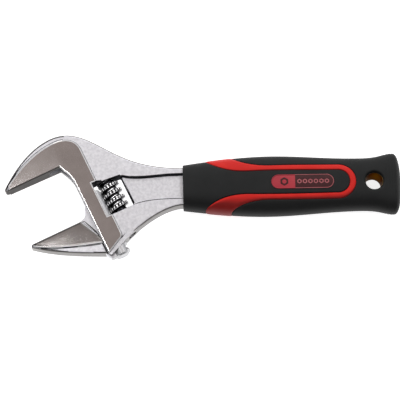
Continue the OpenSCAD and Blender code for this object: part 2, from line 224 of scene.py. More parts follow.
def metal(name, dark, light, roughness, grain_mm, bump, brushed=None, depth=None, cloud_mm=8,
          glancing=1.0):
    """Metal whose colour and gloss drift a little, with a fine grain. brushed turns and
    stretches the grain. A glancing under 1 dims it at grazing angles. depth gives painted shade where
    the piece's depth attribute marks, a painted light line at its very deepest, and painted shade on
    faces turned sideways."""
    material, n = new_material(name)
    place = place_mm(n)
    cloud = n.add("ShaderNodeTexNoise", {"Vector": place, "Scale": 1 / cloud_mm,
                                         "Detail": 4.0}).outputs["Fac"]
    if brushed:
        turn, stretch = brushed
        place = n.add("ShaderNodeMapping", {"Vector": place, "Rotation": (0, 0, turn),
                                            "Scale": stretch}).outputs[0]
    grain = n.add("ShaderNodeTexNoise", {"Vector": place, "Scale": 1 / grain_mm, "Detail": 5.0,
                                         "Roughness": 0.6}).outputs["Fac"]
    colour = n.ramp(cloud, [(0.3, dark), (0.7, light)])
    if depth:
        # Painted shade where the depth attribute marks a valley, with a painted light line along the very
        # deepest.
        low = n.add("ShaderNodeAttribute", attribute_name="depth").outputs["Fac"]
        shadow = (0.04, 0.04, 0.045)
        shade = n.ramp(low, [(depth[0], (1, 1, 1)), (depth[1], shadow), (0.93, shadow),
                             (0.97, (1, 1, 1))])
        # Painted shade on faces turned sideways.
        normal = n.add("ShaderNodeNewGeometry").outputs["Normal"]
        upright = n.add("ShaderNodeSeparateXYZ", {0: normal}).outputs["Z"]
        steep = n.add("ShaderNodeMath", {0: upright}, operation="ABSOLUTE").outputs[0]
        out = n.ramp(steep, [(0.65, (0.12, 0.12, 0.13)), (0.99, (1, 1, 1))], "EASE")
        colour = n.mix(1.0, n.mix(1.0, colour, shade, "MULTIPLY"), out, "MULTIPLY")
    gloss = n.add("ShaderNodeMapRange", {"Value": grain, "From Min": 0.3, "From Max": 0.7,
                                         "To Min": roughness[0], "To Max": roughness[1]}).outputs[0]
    close_material(n, {"Base Color": colour, "Metallic": 1.0, "Roughness": gloss,
                       "Specular Tint": (glancing, glancing, glancing, 1)}, grain, bump)
    return material


def moulded(name, dark, light, roughness, grain_mm, bump):
    """Rubber or plastic with a fine moulded grain and slight colour drift. It has painted
    shade where it faces the near side, whatever the light."""
    material, n = new_material(name)
    place = place_mm(n)
    cloud = n.add("ShaderNodeTexNoise", {"Vector": place, "Scale": 0.1, "Detail": 3.0}).outputs["Fac"]
    # Painted shade on faces turned to the near side.
    normal = n.add("ShaderNodeNewGeometry").outputs["Normal"]
    sideways = n.add("ShaderNodeSeparateXYZ", {0: normal}).outputs["Y"]
    near = n.ramp(n.add("ShaderNodeMath", {0: sideways, 1: -1.0}, operation="MULTIPLY").outputs[0],
                  [(0.08, (1, 1, 1)), (0.50, (0.30, 0.30, 0.30))], "EASE")
    colour = n.mix(1.0, n.ramp(cloud, [(0.3, dark), (0.7, light)]), near, "MULTIPLY")
    pores = n.add("ShaderNodeTexVoronoi", {"Vector": place, "Scale": 1 / grain_mm}).outputs["Distance"]
    fine = n.add("ShaderNodeTexNoise", {"Vector": place, "Scale": 2 / grain_mm,
                                        "Detail": 3.0}).outputs["Fac"]
    height = n.add("ShaderNodeMath", {0: pores, 1: fine}, operation="ADD").outputs[0]
    gloss = n.add("ShaderNodeMapRange", {"Value": fine, "From Min": 0.3, "From Max": 0.7,
                                         "To Min": roughness[0], "To Max": roughness[1]}).outputs[0]
    close_material(n, {"Base Color": colour, "Roughness": gloss, "Specular IOR Level": 0.25},
                   height, bump)
    return material


BRUSH = math.radians(-24.5)
polished = metal("polished_chrome", (0.60, 0.57, 0.56), (0.67, 0.64, 0.63), (0.11, 0.17), 0.5, 0.04)
satin = metal("satin_chrome", (0.66, 0.665, 0.70), (0.84, 0.845, 0.88), (0.32, 0.46), 0.4, 0.35,
              cloud_mm=1.4)
# Darker chrome for faces turned sideways: painted shade standing for the dim reflections on the side
# walls.
side_shade_chrome = metal("side_chrome_painted_shade", (0.17, 0.16, 0.155), (0.22, 0.21, 0.20), (0.26, 0.34), 0.2, 0.12)
rail_steel = metal("rail_chrome", (0.52, 0.52, 0.53), (0.58, 0.58, 0.59), (0.36, 0.44), 0.2, 0.1)
# Ground steel for the gripping faces, made far darker than bare steel: a ground finish with painted
# shade.
ground_and_shade = metal("ground_steel_and_painted_shade", (0.07, 0.066, 0.064), (0.10, 0.096, 0.092), (0.28, 0.38), 0.25, 0.2,
               (BRUSH, (0.15, 1, 1)), glancing=0.6)
# Painted shade, put on the groove, the step walls, the bore and the window and recess walls.
groove = metal("groove_painted_shade", (0.045, 0.045, 0.05), (0.075, 0.075, 0.08), (0.40, 0.52), 0.2, 0.15,
               glancing=0.3)
# Painted highlight on the chamfers along the steps.
edge_highlight = metal("edge_highlight", (0.90, 0.89, 0.88), (0.95, 0.945, 0.94), (0.16, 0.24), 0.3, 0.05)
# A darker copy of the polished chrome, for the movable jaw's flats.
darker_polish = metal("darker_polished_chrome", (0.36, 0.345, 0.34), (0.43, 0.41, 0.40), (0.12, 0.18), 0.5,
                    0.04)
# Of these, the darker side chrome and the groove material are painted shade, the edge material is a
# painted highlight, and the ground steel carries painted shade as well as its ground finish.
STEELS = [polished, satin, side_shade_chrome, ground_and_shade, groove, edge_highlight, darker_polish, rail_steel]
POLISHED, SATIN, SIDE_SHADE, GROUND_AND_SHADE, GROOVE_SHADE, EDGE_HIGHLIGHT, DARKER_POLISH, RAIL = range(len(STEELS))
# The knurl's chrome: painted shade in the valleys and on faces turned sideways, and a painted highlight
# line along the very bottom of the valleys.
knurl_steel = metal("knurl_chrome", (0.80, 0.80, 0.81), (0.90, 0.90, 0.91), (0.16, 0.26), 0.2, 0.08,
                    depth=(0.06, 0.30))
pin_steel = metal("pin_steel", (0.16, 0.155, 0.15), (0.24, 0.23, 0.22), (0.30, 0.42), 0.2, 0.15)
spring_steel = metal("spring_steel", (0.40, 0.39, 0.38), (0.50, 0.49, 0.47), (0.25, 0.32), 0.15, 0.08)
brass = metal("bush_brass", (0.15, 0.085, 0.022), (0.22, 0.13, 0.04), (0.30, 0.42), 0.3, 0.15,
              glancing=0.2)
black_rubber = moulded("black_rubber", (0.010, 0.011, 0.011), (0.014, 0.015, 0.015),
                       (0.55, 0.68), 0.28, 0.22)
red_plastic = moulded("red_plastic", (0.66, 0.010, 0.006), (0.74, 0.016, 0.010),
                      (0.44, 0.54), 0.3, 0.08)
badge_dark = moulded("badge_dark", (0.045, 0.006, 0.008), (0.06, 0.009, 0.011), (0.3, 0.4), 0.3, 0.05)
badge_red = moulded("badge_red", (0.42, 0.03, 0.05), (0.50, 0.045, 0.06), (0.3, 0.4), 0.3, 0.05)
badge_line = moulded("badge_line", (0.40, 0.10, 0.11), (0.48, 0.14, 0.15), (0.3, 0.4), 0.3, 0.05)


# ------------------------------------------------------------------ mesh helpers

def add_object(name, mesh, body, stands_for, materials):
    piece = bpy.data.objects.new(name, mesh)
    scene.collection.objects.link(piece)
    for material in materials:
        mesh.materials.append(material)
    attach(piece, body)
    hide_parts(*stands_for)
    return piece


def mesh_from(name, points, faces, smooth_under=35):
    """A mesh from points in metres, with its faces turned outwards."""
    mesh = bpy.data.meshes.new(name)
    mesh.from_pydata([tuple(p) for p in points], [], faces)
    bm = bmesh.new()
    bm.from_mesh(mesh)
    bmesh.ops.remove_doubles(bm, verts=bm.verts, dist=0.001 * MM)
    bmesh.ops.recalc_face_normals(bm, faces=bm.faces)
    bm.to_mesh(mesh)
    bm.free()
    mesh.shade_smooth()
    mesh.set_sharp_from_angle(angle=math.radians(smooth_under))
    return mesh


def ring_faces(rows, columns, closed_rows=False):
    """Quads between rows of points, each row a closed ring."""
    faces = []
    for j in range(rows if closed_rows else rows - 1):
        here, there = j * columns, (j + 1) % rows * columns
        for i in range(columns):
            k = (i + 1) % columns
            faces.append((here + i, here + k, there + k, there + i))
    return faces


# ------------------------------------------------------------------ steel forgings

WIDEST = 1.3                                      # of the rounded edges, in millimetres
SHARP = math.radians(24)                          # edges with a larger angle are rounded
COPLANAR = math.radians(1)                        # faces within this are joined up
LEVEL = 0.97                                      # least upward share of a level face's normal
FLATS_HALF = (5.4, 4.2)                           # half thickness at the throat and at the tips
BODY_BAND_HALF, JAW_BAND_HALF = (4.6, 3.6), (4.3, 3.4)
GROOVE_W, GROOVE_D = 0.75, 0.2                    # of the groove at the foot of the step
STRIP_A = -5.1                                    # back edge of the polished flats
RAIL_A = -8.8                                     # axis of the rail
BORE_R = 4.4                                      # of the rail's bore
THROAT_A, TAPER_L = -17, 35                       # where the jaws start to thin, and how far
WINDOW_A, WINDOW_B = (-8.1, 7.8), (-9.6, 11)      # what the window and its relief span
RECESS_HALF_W = 9.2                               # of the shank's recess, with its walls


def from_cad(node):
    """The node's mesh, welded, with its flat faces joined up."""
    bm = bmesh.new()
    bm.from_mesh(frame["nodes"][node].data)
    bmesh.ops.remove_doubles(bm, verts=bm.verts, dist=0.002 * MM)
    bmesh.ops.dissolve_limit(bm, angle_limit=COPLANAR, verts=bm.verts, edges=bm.edges)
    bm.normal_update()
    return bm


def level_faces(bm, side, half_of, accept):
    """One side's level faces at the half thickness half_of(a), where accept(a, b) holds."""
    faces = []
    for face in bm.faces:
        a, b, z = head_coords(face.calc_center_median())
        level = face.normal.z * side > LEVEL and abs(abs(z) - half_of(a)) < 0.05
        if level and accept(a, b):
            faces.append(face)
    return faces


def inset_outline(bm, faces, width):
    """Insets the faces by width, in millimetres, and returns the vertices of their outline."""
    ring = bmesh.ops.inset_region(bm, faces=faces, thickness=width * MM,
                                  use_even_offset=True, use_boundary=True)["faces"]
    return {v for f in ring for v in f.verts} - {v for f in faces for v in f.verts}


def chamfer_flats(bm, width, drop):
    """Breaks the edge of each polished flat with a shallow chamfer."""
    for side in (1, -1):
        faces = level_faces(bm, side, flat_half, lambda a, b: a < STRIP_A + 0.1)
        for vert in inset_outline(bm, faces, width):
            vert.co.z -= side * drop * MM
    bm.normal_update()


def groove_foot(bm, band_half, reach, in_band):
    """Sinks a shallow groove along the foot of the step round the flats, over the given reach
    of a, in the faces whose b in_band(b) accepts."""
    def in_reach(a, b):
        return reach[0] < a < reach[1] and in_band(b)

    for end in reach:
        bmesh.ops.bisect_plane(bm, geom=bm.verts[:] + bm.edges[:] + bm.faces[:], dist=0.001 * MM,
                               plane_co=from_head(end, 0, 0), plane_no=along)
    for side in (1, -1):
        band = level_faces(bm, side, band_half, in_reach)
        for vert in inset_outline(bm, band, GROOVE_W):
            a, _, z = head_coords(vert.co)
            climbs = max(abs(head_coords(e.other_vert(vert).co)[2]) for e in vert.link_edges)
            if climbs > abs(z) + 0.1 and reach[0] + 0.1 < a < reach[1] - 0.1:
                vert.co.z -= side * GROOVE_D * MM
    bmesh.ops.dissolve_limit(bm, angle_limit=COPLANAR, verts=bm.verts, edges=bm.edges)
    bm.normal_update()


def rounded(name, node, chamfer, groove_at, width_of, finish_and_shade_of, body):
    """A forging made from its CAD node: the polished flats are chamfered and grooved round,
    each sharp edge is rounded by width_of(edge), in millimetres, and each face gets one of
    STEELS, picked by the function that follows width_of: a finish, painted shade or a painted highlight."""
    bm = from_cad(node)
    chamfer_flats(bm, *chamfer)
    groove_foot(bm, *groove_at)
    weights = bm.edges.layers.float.new("bevel_weight_edge")
    for edge in bm.edges:
        if edge.calc_face_angle(0) > SHARP:
            edge[weights] = width_of(edge) / WIDEST
    mesh = bpy.data.meshes.new(name + "_blank")
    bm.to_mesh(mesh)
    blank = bpy.data.objects.new(name + "_blank", mesh)
    scene.collection.objects.link(blank)
    bevel = blank.modifiers.new("rounding", "BEVEL")
    bevel.limit_method = "WEIGHT"
    bevel.width = WIDEST * MM
    bevel.segments = 4
    bevel.use_clamp_overlap = False
    finished = bpy.data.meshes.new_from_object(
        blank.evaluated_get(bpy.context.evaluated_depsgraph_get()))
    bpy.data.objects.remove(blank)
    finished.name = name
    bm.clear()
    bm.from_mesh(finished)
    bm.normal_update()
    for face in bm.faces:
        face.smooth = True
        face.material_index = finish_and_shade_of(face)
    bm.to_mesh(finished)
    bm.free()
    piece = add_object(name, finished, body, [node], STEELS)
    weighted = piece.modifiers.new("shading", "WEIGHTED_NORMAL")
    weighted.weight = 80


def tapered(full, thin, a):
    """A half thickness that thins evenly from the throat to the jaw tips."""
    return full - (full - thin) * min(1, max(0, (THROAT_A - a) / TAPER_L))


def flat_half(a):
    """Half thickness over the polished flats."""
    return tapered(*FLATS_HALF, a)


def body_band(a):
    """Half thickness of the fixed jaw round its flats."""
    return tapered(*BODY_BAND_HALF, a)


def jaw_band(a):
    """Half thickness of the movable jaw round its flats."""
    return tapered(*JAW_BAND_HALF, a)


def goes_through(edge):
    """Whether one of the edge's faces is a wall from one side of the tool to the other."""
    for face in edge.link_faces:
        levels = [head_coords(v.co)[2] for v in face.verts]
        if abs(face.normal.z) < 0.5 and min(levels) < -3.4 and max(levels) > 3.4:
            return True
    return False


def in_window(a, b, slack=0.0):
    """Whether a place is in the knurl's window or its relief."""
    return (WINDOW_A[0] - slack < a < WINDOW_A[1] + slack
            and WINDOW_B[0] - slack < b < WINDOW_B[1] + slack)


def in_groove(step, facing):
    """Whether a face so far above the band's level is one of the groove's sloping sides."""
    return -0.25 < step < -0.01 and 0.93 < facing < 0.995


def on_step(step, facing):
    """Whether a face so far above the band's level is the step or the chamfer on top of it."""
    return step > 0.02 and facing < 0.99


def body_width(edge):
    """How wide each sharp edge of the body is rounded."""
    a, b, z = head_coords((edge.verts[0].co + edge.verts[1].co) / 2)
    high = abs(z)
    if min(v.co.x for v in edge.verts) > grip_front + 4 * MM:
        return 0.3
    if 1.9 < high < 2.3 and a > 7:
        return 0.9                                # floor of the shank's recess
    if in_window(a, b):
        return 0.25
    if -16.5 < a < -14 and b < 24 and high > 3.2:
        return 0.4 if goes_through(edge) else 0.25    # narrow band in front of the housing
    if b < -23.5 and a > -15:
        return 0.08                               # thin end of the rail's housing
    if high < 3.2:
        return 0.15                               # slot and bores
    if high > body_band(a) + 0.1 and a < STRIP_A + 1:
        return 0.2 if goes_through(edge) else 0.1
    if not edge.is_convex:
        return 0.45                               # foot of the step under the flats
    return 1.1 if goes_through(edge) else 0.5


def body_finish_and_shade(face):
    """Which of STEELS each face of the body has: a finish, painted shade or a painted highlight."""
    centre = face.calc_center_median()
    a, b, z = head_coords(centre)
    high, facing, top = abs(z), abs(face.normal.z), flat_half(a)
    if a < STRIP_A + 0.9 and high > top - 0.1 and facing > 0.98:
        return POLISHED
    # Painted shade on the bore and on the window's walls.
    in_bore = abs(math.hypot(a - RAIL_A, z) - BORE_R) < 0.15
    if in_bore or in_window(a, b, 0.3) and (facing < 0.9 or high < 3.2):
        return GROOVE_SHADE
    if high < 2.4 and facing > 0.9:
        return SATIN
    # The gripping face: ground steel with painted shade.
    if face.normal.dot(open_dir) > 0.75 and 25 < b < 26.6 and a < -18 and facing < 0.5:
        return GROUND_AND_SHADE
    # Painted shade in the groove and on the step walls; the step's chamfers get ground steel with painted
    # shade, rail chrome, or a painted highlight, by place.
    step = high - body_band(a)
    if a < -10.5 and in_groove(step, facing):
        return GROOVE_SHADE
    if a < STRIP_A + 0.9 and on_step(step, facing):
        if facing < 0.8 or step < 0.3:
            return GROOVE_SHADE
        if b > 25 and a < -18:
            return GROUND_AND_SHADE if b < 27 else RAIL
        return EDGE_HIGHLIGHT if a < -12 else RAIL
    # Painted shade on the recess walls and the window's right wall, and on every other face turned
    # sideways.
    beside_grip = abs(centre.y - grip_y) < RECESS_HALF_W * MM
    recess_wall = 1.9 < high < 4.25 and facing < 0.99 and beside_grip
    at_window = abs(a - 7.6) < 0.7 and high < 2.3 and facing < 0.97
    if recess_wall and a > 5 or at_window:
        return GROOVE_SHADE
    return SATIN if facing > 0.9 else SIDE_SHADE


def make_body():
    groove_at = (body_band, (-60, -11), lambda b: b > 27)
    rounded("forged_body", "wrench_body", (0.7, 0.2), groove_at, body_width, body_finish_and_shade, "body")


JAW_FACE_B = -6.0                                 # the movable jaw's gripping face
RAIL_EDGE_A = -15.5                               # the rail and its teeth lie beyond this


def jaw_width(edge):
    """How wide each sharp edge of the movable jaw is rounded."""
    a, b, z = head_coords((edge.verts[0].co + edge.verts[1].co) / 2)
    high, below = abs(z), b - JAW_FACE_B
    if a > RAIL_EDGE_A:
        return 0.15
    if high < 2.7:
        return 0.2                                # web
    if high > jaw_band(a) + 0.1:
        return 0.1
    if not edge.is_convex:
        return 0.35
    return 0.3 if below > -0.1 else 0.8


def jaw_finish_and_shade(face):
    """Which of STEELS each face of the movable jaw has: a finish, painted shade or a painted highlight.
    """
    a, b, z = head_coords(face.calc_center_median())
    high, facing, top = abs(z), abs(face.normal.z), flat_half(a)
    below = b - JAW_FACE_B
    if a > RAIL_EDGE_A:
        return RAIL
    if a > -17.6 and high < 2.7 or high < 2.7 and facing > 0.9:
        return SATIN
    # The flats get the darker copy of the polished chrome.
    if high > top - 0.1 and facing > 0.98:
        return DARKER_POLISH
    # The gripping face: ground steel with painted shade.
    if face.normal.dot(across) > 0.75:
        return GROUND_AND_SHADE
    # Painted shade in the groove and on the step walls; the rest of the step gets painted side shade,
    # ground steel with painted shade, or a painted highlight, by place.
    step = high - jaw_band(a)
    if in_groove(step, facing):
        return GROOVE_SHADE
    if on_step(step, facing):
        if facing < 0.8 or step < 0.3:
            return GROOVE_SHADE
        if face.normal.dot(along) > 0.12:
            return SIDE_SHADE
        return GROUND_AND_SHADE if below > -1.2 else EDGE_HIGHLIGHT
    # Painted shade on faces turned sideways.
    return SATIN if facing > 0.9 else SIDE_SHADE


def make_jaw():
    groove_at = (jaw_band, (-47, THROAT_A), lambda b: b < -7)
    rounded("sliding_jaw", "movable_jaw", (1.0, 0.38), groove_at, jaw_width, jaw_finish_and_shade, "jaw")


# ------------------------------------------------------------------ knurl, pin and spring

LEAD = 4.0
NOTCHES = 18
NOTCH_DEPTH, NOTCH_SIGMA = 1.0, 0.14              # the width is a share of the notches' spacing
CREST_B = 0.4
ROOT_R = 3.7                                      # radius between the turns
VALLEY = 0.15                                     # depth of the rounding below the root radius
END_ROUND = 0.6                                   # of the knurl's two ends


def smooth(x, low, high):
    t = np.clip((x - low) / (high - low), 0, 1)
    return t * t * (3 - 2 * t)


def thread_radius(turn_deg, b, low, high, crest, root):
    """Radius of the notched thread's surface, with a rounded valley between its turns."""
    d = (b - CREST_B) / LEAD - (turn_deg - 180) / 360
    d = LEAD * (d - np.round(d))
    lift = 1 - smooth(np.abs(d), 0.80, 1.42)
    crown = 0.16 * ((d - 0.2) / 0.75) ** 2 * smooth(d, -0.6, -0.4)
    phase = (turn_deg * NOTCHES / 360) % 1
    notch = NOTCH_DEPTH * np.exp(-((phase - 0.5) / NOTCH_SIGMA) ** 2) * smooth(d, -0.72, -0.55)
    end = np.clip(1 - np.minimum(b - low, high - b) / END_ROUND, 0, 1)
    sunk = crown + notch + END_ROUND * end
    valley = VALLEY * smooth(np.abs(d), 1.5, 1.85)
    return root - 0.3 * END_ROUND * end - valley * (1 - end) + (crest - root - sunk) * lift


def make_knurl():
    (_, low, _), (_, high, _) = head_box("knurl")
    points = np.array([head_coords(v.co) for v in frame["nodes"]["knurl"].data.vertices])
    crest = np.hypot(points[:, 0], points[:, 2]).max()
    bore = np.hypot(points[:, 0], points[:, 2]).min()
    pocket, pocket_floor = 2.85, high - 4.3
    columns = NOTCHES * 12
    turns = np.arange(columns) * 360 / columns
    heights = np.linspace(low, high, 300)
    rows = [(h, thread_radius(turns, h, low, high, crest, ROOT_R)) for h in heights]
    rows += [(h, np.full(columns, r)) for h, r in
             ((high, pocket + 0.2), (high - 0.2, pocket), (pocket_floor, pocket), (pocket_floor, bore),
              (low + 0.2, bore), (low, bore + 0.2))]
    points = [from_head(r * math.cos(math.radians(w)), h, -r * math.sin(math.radians(w)))
              for h, radii in rows for w, r in zip(turns, radii)]
    mesh = mesh_from("worm", points, ring_faces(len(rows), columns, closed_rows=True), 50)
    depth = mesh.attributes.new("depth", "FLOAT", "POINT")
    for v in mesh.vertices:
        a, b, z = head_coords(v.co)
        sunk = (crest - math.hypot(a, z)) / (crest - ROOT_R + VALLEY)
        # Near the ends the depth stops short of the very deepest, so the painted light line along the
        # valleys stays off the ends.
        deepest = 0.9 if min(b - low, high - b) < 1.5 else 1.0
        depth.data[v.index].value = max(0, min(deepest, sunk))
    add_object("worm", mesh, "knurl", ["knurl"], [knurl_steel])


def make_spring():
    (_, low, _), (_, high, _) = head_box("knurl_spring")
    wire, radius, turns = 0.28, 2.35, 4.5
    low, high = low + wire, high - wire
    steps, sides = 240, 12
    points = []
    for j in range(steps + 1):
        w = 2 * math.pi * turns * j / steps
        b = low + (high - low) * j / steps
        for i in range(sides):
            q = 2 * math.pi * i / sides
            r = radius + wire * math.cos(q)
            points.append(from_head(r * math.cos(w), b + wire * math.sin(q), -r * math.sin(w)))
    faces = ring_faces(steps + 1, sides)
    faces += [tuple(range(sides)), tuple(range(steps * sides, (steps + 1) * sides))]
    mesh = mesh_from("end_spring", points, faces)
    add_object("end_spring", mesh, "body", ["knurl_spring"], [spring_steel])


def dress(node, material, smooth_under=30):
    """Gives a CAD node that keeps its own shape a finished material."""
    mesh = frame["nodes"][node].data
    mesh.shade_smooth()
    mesh.set_sharp_from_angle(angle=math.radians(smooth_under))
    mesh.materials.clear()
    mesh.materials.append(material)


# ------------------------------------------------------------------ grip

COLUMNS = 64                                      # of the grip's surface, over a quarter turn
SQUARENESS = 2.7
FRONT_X, BUTT_X = grip_front / MM, grip_butt / MM
BELLY_X, WAIST_X, FLARE_X = 36, 84, 101
HALF_W, HALF_T = 16.2, 9.2
MOUTH = (10.42, 4.27)                             # half width and half thickness
HOLE_X, HOLE_R, HOLE_FILLET = 90.7, 4.7, 1.4
LOOP_X, LOOP_OUT, LOOP_IN = 71.5, 9.45, 6.3       # centre of the red loop's bend, and its radii
SEAM_HALF, SEAM_DEPTH = 0.5, 0.4
SKIN_T = 1.1
BADGE_X, BADGE_L, BADGE_W = 52.7, 33.2, 7.8
POCKET_Z = 8.2
BUSH_HALF = 6.5
FINGER_RIDGES = (97.4, 99.0, 100.6)


def bezier(points, count):
    t = np.linspace(0, 1, count + 1)[:, None]
    p = np.array(points, float)
    return (1 - t) ** 3 * p[0] + 3 * (1 - t) ** 2 * t * p[1] + 3 * (1 - t) * t ** 2 * p[2] + t ** 3 * p[3]


def arc(centre_x, r, from_deg, to_deg, count):
    w = np.radians(np.linspace(from_deg, to_deg, count + 1))
    return np.stack([centre_x + r * np.cos(w), r * np.sin(w)], 1)


def half_thick(x):
    """Half thickness of the grip: full at the belly, thinner at the front, round at the butt."""
    front = 0.8 * (max(0, BELLY_X - x) / (BELLY_X - FRONT_X)) ** 2
    back = 0.7 * math.sin(math.pi / 2 * min(1, max(0, x - BELLY_X) / (WAIST_X - BELLY_X)))
    butt = max(0, x - FLARE_X) / (BUTT_X - FLARE_X)
    return (HALF_T - front - back) * math.sqrt(1 - 0.8 * butt * butt)


def quarter(x, half_w, half_t, squareness):
    """Evenly spaced points round a quarter of the section at x, from the top to the side."""
    w = np.linspace(0, math.pi / 2, 2001)
    y = half_w * np.sin(w) ** (2 / squareness)
    z = half_t * np.cos(w) ** (2 / squareness)
    run = np.concatenate([[0], np.cumsum(np.hypot(np.diff(y), np.diff(z)))])
    even = np.linspace(0, run[-1], COLUMNS + 1)
    points = np.stack([np.full(COLUMNS + 1, x), np.interp(even, run, y), np.interp(even, run, z)], 1)
    points[0, 1] = points[-1, 2] = 0
    return points


class Skin:
    """The grip's surface over a quarter turn. A place on it is (u, v): u in millimetres along
    the grip from inside the mouth, and v in millimetres from the top line round to the side."""

    v_side = 21.0

    def __init__(self):
        rows = []
        for depth in (3.0, 1.6, 0.2):
            rows.append(quarter(FRONT_X + depth, *MOUTH, 12))
        for q in np.radians((30, 60, 90)):
            out = 0.2 * (1 - math.cos(q))
            rows.append(quarter(FRONT_X + 0.2 * (1 - math.sin(q)), MOUTH[0] + out, MOUTH[1] + out, 12))
        self.first_side = len(rows)
        for q in np.radians((0, 22.5, 45, 67.5)):
            x = FRONT_X + 0.5 * (1 - math.cos(q))
            sunk = 0.5 * (1 - math.sin(q))
            rows.append(quarter(x, self.half_width(x) - sunk, half_thick(x) - sunk, SQUARENESS))
        stations = np.concatenate([np.linspace(FRONT_X + 0.5, 95, 106), np.arange(95.25, FLARE_X, 0.25)])
        for x in stations:
            rows.append(quarter(x, self.half_width(x), half_thick(x), SQUARENESS))
        for x, half_w in bezier([[FLARE_X, 16.5], [103.4, 16.5], [104.3, 13.5], [BUTT_X - 0.1, 7]], 14):
            rows.append(quarter(x, half_w, half_thick(x), SQUARENESS))
        for share in (1, 0.75, 0.5, 0.25, 0):
            rows.append(quarter(BUTT_X, 5 * share, half_thick(BUTT_X) * share, SQUARENESS))
        self.points = np.array(rows)
        steps = np.linalg.norm(np.diff(self.points, axis=0), axis=2).mean(1)
        self.u = np.concatenate([[0], np.cumsum(steps)])
        self.normals = np.cross(np.gradient(self.points, axis=0), np.gradient(self.points, axis=1))
        self.normals[:, 0, 1] = self.normals[:, -1, 2] = 0
        self.normals[-5:] = (1, 0, 0)
        self.normals /= np.linalg.norm(self.normals, axis=2, keepdims=True)

    @staticmethod
    def half_width(x):
        line = np.concatenate([
            bezier([[FRONT_X, 12.1], [6, 14.4], [20, HALF_W], [BELLY_X, HALF_W]], 40),
            bezier([[BELLY_X, HALF_W], [52, HALF_W], [66, 14.1], [WAIST_X, 14.1]], 40)[1:],
            bezier([[WAIST_X, 14.1], [94.5, 14.1], [96.5, 16.5], [FLARE_X, 16.5]], 40)[1:]])
        return np.interp(x, line[:, 0], line[:, 1])

    def sample(self, grid, places):
        """Reads the grid at an array of (u, v) places."""
        i = np.interp(places[:, 0], self.u, np.arange(len(self.u)))
        j = np.clip(places[:, 1] / self.v_side, 0, 1) * COLUMNS
        i0 = np.minimum(i.astype(int), len(self.u) - 2)
        j0 = np.minimum(j.astype(int), COLUMNS - 1)
        fi, fj = (i - i0)[:, None], (j - j0)[:, None]
        near = grid[i0, j0] * (1 - fj) + grid[i0, j0 + 1] * fj
        far = grid[i0 + 1, j0] * (1 - fj) + grid[i0 + 1, j0 + 1] * fj
        return near * (1 - fi) + far * fi

    def from_plan(self, plan, step):
        """Lays a curve given in plan on the surface, as places that are about step apart. Where
        the curve runs past the grip's side it ends on the side."""
        u = np.interp(plan[:, 0], self.points[self.first_side:, -1, 0], self.u[self.first_side:])
        v = []
        for here, y in zip(u, plan[:, 1]):
            line = self.sample(self.points, np.stack([np.full(COLUMNS + 1, here),
                                                      np.linspace(0, self.v_side, COLUMNS + 1)], 1))
            v.append(np.interp(y, line[:, 1], np.linspace(0, self.v_side, COLUMNS + 1)))
        places = np.stack([u, v], 1)
        on_side = np.flatnonzero(places[:, 1] >= self.v_side - 1e-6)
        if len(on_side):
            places = places[on_side[-1]:]
        run = np.concatenate([[0], np.cumsum(np.linalg.norm(np.diff(places, axis=0), axis=1))])
        even = np.linspace(0, run[-1], max(3, round(run[-1] / step)))
        return np.stack([np.interp(even, run, places[:, 0]), np.interp(even, run, places[:, 1])], 1)


def beside(curve, distance, v_side):
    """The curve moved sideways on the surface, with its ends kept on the quarter's borders."""
    along_curve = np.gradient(curve, axis=0)
    for end in (0, -1):
        along_curve[end, 0] = 0
    sideways = np.stack([-along_curve[:, 1], along_curve[:, 0]], 1)
    sideways /= np.linalg.norm(sideways, axis=1, keepdims=True)
    moved = curve + distance * sideways
    for end in (0, -1):
        moved[end, 1] = curve[end, 1]
    moved[:, 1] = np.clip(moved[:, 1], 0, v_side)
    return moved


def distance_to(curve, places):
    """How far each place is from the curve."""
    nearest = np.full(len(places), np.inf)
    for start, end in zip(curve[:-1], curve[1:]):
        way = end - start
        t = np.clip(((places - start) @ way) / (way @ way), 0, 1)
        nearest = np.minimum(nearest, np.linalg.norm(places - start - t[:, None] * way, axis=1))
    return nearest


def within(outline, places):
    """Whether each place is inside the closed outline."""
    inside = np.zeros(len(places), bool)
    for (u0, v0), (u1, v1) in zip(outline, np.roll(outline, -1, axis=0)):
        if v0 != v1:
            spans = (places[:, 1] < v0) != (places[:, 1] < v1)
            inside ^= spans & (places[:, 0] < u0 + (places[:, 1] - v0) * (u1 - u0) / (v1 - v0))
    return inside


def triangulate(skin, curves, clear):
    """Triangles over the quarter that follow each of the curves."""
    u_rows = [skin.u[0]]
    for u in skin.u[1:]:
        parts = math.ceil((u - u_rows[-1]) / 1.1)
        u_rows += list(np.linspace(u_rows[-1], u, parts + 1)[1:])
    v_rows = np.linspace(0, skin.v_side, 24)
    lattice = np.array([(u, v) for u in u_rows for v in v_rows])
    for curve in curves:
        lattice = lattice[distance_to(curve, lattice) > clear]
    points = [Vector(p) for p in lattice]
    edges = []
    for curve in curves:
        edges += [(len(points) + i, len(points) + i + 1) for i in range(len(curve) - 1)]
        points += [Vector(p) for p in curve]
    places, _, faces, *_ = geometry.delaunay_2d_cdt(points, edges, [], 0, 1e-5)
    return np.array([tuple(p) for p in places]), np.array(faces)


